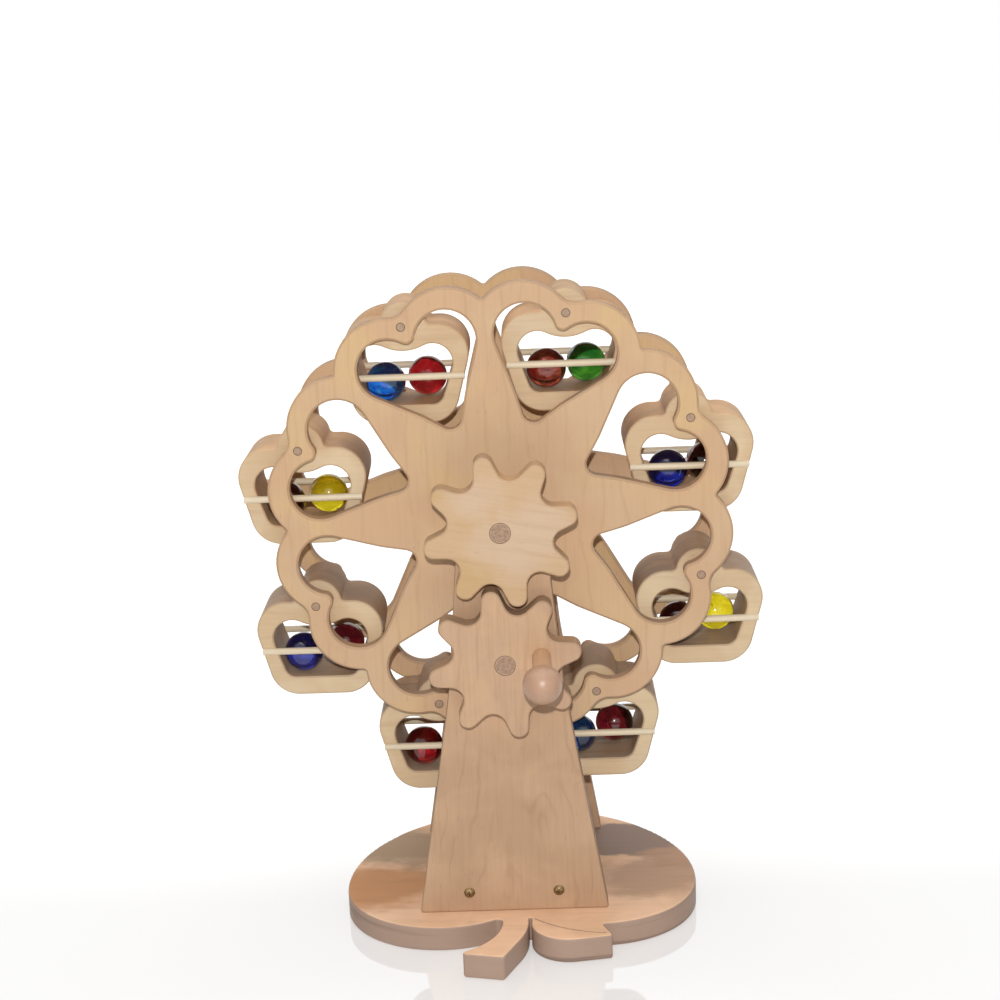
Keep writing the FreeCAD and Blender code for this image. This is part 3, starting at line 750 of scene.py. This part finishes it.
def domed_profile():
    """A wood screw with a domed head, its seat at height 0."""
    dome = (HEAD_RADIUS ** 2 + HEAD_RISE ** 2) / (2 * HEAD_RISE)
    section = shank(POST_SCREW) + [(SHANK_RADIUS, -0.05), (HEAD_RADIUS - 0.1, -0.05), (HEAD_RADIUS, 0.05)]
    for i in range(1, HEAD_ROWS + 1):
        radius = HEAD_RADIUS * (1 - i / HEAD_ROWS)
        section.append((radius, math.sqrt(dome ** 2 - radius ** 2) - (dome - HEAD_RISE)))
    return section


def sunk_profile():
    """A wood screw with a flat sunk head, its face at height 0."""
    cone = [(SHANK_RADIUS, -SUNK_DEPTH), (SUNK_RADIUS - 0.05, -0.05), (SUNK_RADIUS, 0.0)]
    face = [(SUNK_RADIUS * (1 - i / HEAD_ROWS), 0.0) for i in range(1, HEAD_ROWS + 1)]
    return shank(BASE_SCREW) + cone + face


# %% Screws
brass = Finish("old brass")
rub = brass.noise(brass.stretch(brass.place(), (1500.0, 1500.0, 1500.0)), 3.0, 0.6)
worn = brass.fade(rub, 0.45, 0.7)
brass.relief(rub, 0.03 * MM)
screw_brass = brass.coat(
    Base_Color=brass.tint(worn, colour(0.20, 0.125, 0.055), colour(0.42, 0.30, 0.15)),
    Metallic=0.85 + worn * 0.15, Roughness=0.30 + rub * 0.2)

SCREW_HEIGHT, SCREW_ASIDE = 20.0, 19.5
BASE_SCREW_ASIDE, BASE_SCREW_RECESS = 17.0, 0.4
SCREW_SHARPNESS = 50.0
for name, node, face, way in (("front_screws", "front_post_screws", FRONT_POST_FACE, -1),
                              ("rear_screws", "rear_post_screws", REAR_POST_FACE, 1)):
    spots = [((x, face, SCREW_HEIGHT), (0, way, 0)) for x in (-SCREW_ASIDE, SCREW_ASIDE)]
    heads = turned(name, domed_profile(), spots, 64, cross_cut(1.15, 0.32, 0.75, HEAD_RISE))
    soft_shade(heads, SCREW_SHARPNESS)
    settle(heads, "stand", "screw_brass", screw_brass, node)
middle = (FRONT_POST_BACK + REAR_POST_FRONT) / 2
spots = [((0, middle + y, BASE_SCREW_RECESS), (0, 0, -1)) for y in (-BASE_SCREW_ASIDE, BASE_SCREW_ASIDE)]
heads = turned("base_screw_pair", sunk_profile(), spots, 64, cross_cut(1.4, 0.34, 0.9, 0.0))
soft_shade(heads, SCREW_SHARPNESS)
settle(heads, "stand", "screw_brass", screw_brass, "base_screws")
print("6 screws")

# %% [markdown]
# ## Glass marbles
# A marble is coloured glass, pressed round while hot, so it isn't a perfect ball: its skin waves by a
# few hundredths of a millimetre, and tiny bubbles are caught inside. Both show, because glass bends
# what lies behind it. Each marble is a sphere with that faint wave, and its bubbles are small spheres of
# the same mesh turned inside out, which Cycles reads as air in the glass. The glass is dyed deeply, so
# against a white background it has to be much darker than its name: light crosses its skin twice.

# %% Glass
def glass(name, deep, bright, clear=0.93):
    """Coloured glass with a soft swirl of a brighter tone. Clear is how much light goes through it."""
    w = Finish(name, IOR=1.5, Transmission_Weight=clear, Specular_IOR_Level=0.2,
               Coat_Weight=0.5, Coat_Roughness=0.14)
    place = w.place()
    curl = w.noise(w.stretch(place, (120.0, 120.0, 200.0)), 2.0, 0.5, 1.8)
    tone = w.tint(w.fade(curl, 0.44, 0.70) * 0.8, deep, bright)
    smear = w.noise(w.stretch(place, (400.0, 400.0, 400.0)), 2.0)
    return w.coat(Base_Color=tone, Roughness=w.fade(smear, 0.5, 0.9) * 0.05)


glasses = {
    "cobalt": glass("cobalt glass", colour(0.006, 0.011, 0.17), colour(0.010, 0.035, 0.36)),
    "blue": glass("blue glass", colour(0.006, 0.080, 0.46), colour(0.018, 0.42, 0.72)),
    "dark_red": glass("dark red glass", colour(0.042, 0.002, 0.004), colour(0.14, 0.006, 0.009)),
    "red": glass("red glass", colour(0.18, 0.004, 0.007), colour(0.50, 0.014, 0.020)),
    "amber": glass("amber glass", colour(0.12, 0.006, 0.004), colour(0.50, 0.19, 0.10)),
    "green": glass("green glass", colour(0.008, 0.10, 0.012), colour(0.10, 0.38, 0.020)),
    "yellow": glass("yellow glass", colour(0.72, 0.60, 0.012), colour(0.95, 0.80, 0.040), 0.72),
}
print(len(glasses), "glasses")

# %% The marbles' shapes
MARBLE_RADIUS, WAVE_DEPTH = 8.5, 0.012
MARBLE_ROWS, BUBBLE_ROWS, BUBBLES = 44, 8, 6


def any_way(rng):
    return Vector((rng.uniform(-1, 1), rng.uniform(-1, 1), rng.uniform(-1, 1)))


def globe(points, faces, middle, radius, rows, swell, inward=False):
    """Adds a ball whose skin is drawn in by swell(direction). Inward turns it into a bubble."""
    first = len(points)
    for i in range(rows + 1):
        tilt = math.pi * i / rows
        for j in range(2 * rows if 0 < i < rows else 1):
            turn = math.pi * j / rows
            flat_part = math.sin(tilt)
            out = Vector((flat_part * math.cos(turn), flat_part * math.sin(turn), math.cos(tilt)))
            points.append((middle + out * (radius - swell(out))) * MM)
    last = len(points) - 1

    def at(i, j):
        """The point in row i at place j, where a pole has only one."""
        if i in (0, rows):
            return first if i == 0 else last
        return first + 1 + (i - 1) * 2 * rows + j % (2 * rows)

    for i in range(rows):
        for j in range(2 * rows):
            corners = list(dict.fromkeys((at(i, j), at(i + 1, j), at(i + 1, j + 1), at(i, j + 1))))
            faces.append(corners[::-1] if inward else corners)


def marble(name, centre, seed):
    """A faintly wavy ball with a few bubbles inside."""
    rng = random.Random(seed)
    waves = [(any_way(rng), rng.uniform(1.5, 3.5)) for _ in range(4)]
    points, faces = [], []

    def skin(out):
        return abs(sum(math.sin(4.0 * out.dot(way) * pace) for way, pace in waves)) * WAVE_DEPTH

    globe(points, faces, Vector(centre), MARBLE_RADIUS, MARBLE_ROWS, skin)
    for _ in range(BUBBLES):
        spot = Vector(centre) + any_way(rng).normalized() * rng.uniform(1.0, 6.0)
        globe(points, faces, spot, rng.uniform(0.12, 0.35), BUBBLE_ROWS, lambda out: 0.0, inward=True)
    mesh = bpy.data.meshes.new(name)
    mesh.from_pydata(points, [], faces)
    mesh.shade_smooth()
    return put(name, mesh)


# %% [markdown]
# ## Marbles in their gondolas
# A marble lies on the gondola's floor and rolls until it meets a rail. The left one is put at the front
# and the right one at the back, which shows how far they roll. The record says which glass each one has.

# %% Marbles
PLAY, FLOOR_DROP = 0.3, 34.9
REST = -FLOOR_DROP + MARBLE_RADIUS + PLAY
TOUCH = MARBLE_RADIUS + RAIL_RADIUS
ROLL_EACH_WAY = GONDOLA_DEPTH / 2 - math.sqrt(TOUCH ** 2 - (REST + RAIL_DROP) ** 2) - PLAY
APART = MARBLE_RADIUS + PLAY / 2
slots = {row["node"]: row["material_slot"] for row in frame["record"]["subparts"]}
for k in GONDOLAS:
    px, pz = pivot(k)
    for hand, aside, rolled in (("left", -APART, -ROLL_EACH_WAY), ("right", APART, ROLL_EACH_WAY)):
        node = "marble_" + str(k) + "_" + hand
        piece = marble("glass_" + node, (px + aside, rolled, pz + REST), 10 * k + (hand == "right"))
        settle(piece, node, slots[node], glasses[slots[node].replace("_glass", "")], node)
print("16 marbles that roll", round(2 * ROLL_EACH_WAY, 2), "mm")

# %% [markdown]
# ## The stage
# The toy stands on a white sweep. A small lamp just above the camera lights the front, as a flash would,
# and draws a thin brown shadow under each edge. A broad one overhead brightens what faces up, and two
# more shine from behind on the left and on the right, so that the back doesn't go dark. All are
# neutral, and with the world they give a surface about the colour it is written in. The white of the
# background comes from Light Path: what the camera, a gloss or a clear glass sees of the world is
# white, while what lights the wood stays at its plain level. The sweep is glossy, so the base is faintly
# mirrored in it.

# %% The surroundings
scene = bpy.context.scene
scene.view_settings.view_transform = "Standard"
WHITE, BLACK = (1, 1, 1, 1), (0, 0, 0, 1)
AMBIENT = 0.17


def seen(tree):
    """1 for rays that show the surroundings: straight from the camera, in a gloss, or through glass."""
    camera_ray, glossy_ray, clear_ray = [
        tree.node("LightPath", output=name)
        for name in ("Is Camera Ray", "Is Glossy Ray", "Is Transmission Ray")]
    return tree.maths("MAXIMUM", tree.maths("MAXIMUM", camera_ray, glossy_ray), clear_ray)


world = bpy.data.worlds.new("surroundings")
scene.world = world
sky = Tree(world)
background = sky.tree.nodes["Background"]
background.inputs["Color"].default_value = WHITE
feed(background.inputs["Strength"], seen(sky) * (1 - AMBIENT) + AMBIENT)
print("white to look at, and", AMBIENT, "as light")

# %% Lamps
FLASH_ABOVE_EYE = Vector((-10, 0, 58)) * MM


def lamp(name, kind, strength, **settings):
    """A lamp, with the settings of its kind."""
    data = bpy.data.lights.new(name, kind)
    data.energy = strength
    for setting, value in settings.items():
        setattr(data, setting, value)
    return put(name, data)


def sun(name, strength, aim, softness):
    """A far lamp that shines along aim. Softness is its width in degrees."""
    far = lamp(name, "SUN", strength, angle=math.radians(softness))
    far.rotation_euler = Vector(aim).to_track_quat("-Z", "Y").to_euler()


sun("overhead", 1.05, (0.0, 0.12, -1.0), 55.0)
sun("behind_left", 0.52, (0.7, -0.7, -1.0), 45.0)
sun("behind_right", 0.52, (-0.7, -0.7, -1.0), 45.0)
flash = lamp("flash", "POINT", 16.5, shadow_soft_size=6 * MM)
flash.location = EYE + FLASH_ABOVE_EYE
print("a flash and three broad lamps")

# %% The sweep
SWEEP_BELOW_BASE = 0.1 * MM
NEAR_GLOW, MORE_GLOW_BEHIND = 0.37, 0.30
floor_mesh = bpy.data.meshes.new("floor")
floor_mesh.from_pydata([(-3, -1.5, 0), (3, -1.5, 0), (3, 4.5, 0), (-3, 4.5, 0)], [], [(0, 1, 2, 3)])
floor = put("floor", floor_mesh)
floor.location.z = -SWEEP_BELOW_BASE
paper = Finish("white sweep", Roughness=0.03, IOR=1.75, Specular_IOR_Level=1.0)
# Painted light: the sweep glows more behind the toy, for the camera only, so that the wheel's shadow there
# washes out to white.
behind = paper.fade(paper.part(paper.place(), Y), -0.02, 0.14)
glow = seen(paper) * (behind * MORE_GLOW_BEHIND + NEAR_GLOW)
dress(floor, paper.coat(Base_Color=colour(0.52, 0.515, 0.51), Emission_Strength=1.0,
                        Emission_Color=paper.tint(glow, BLACK, WHITE)))
print("the sweep lies", SWEEP_BELOW_BASE / MM, "mm below the base")
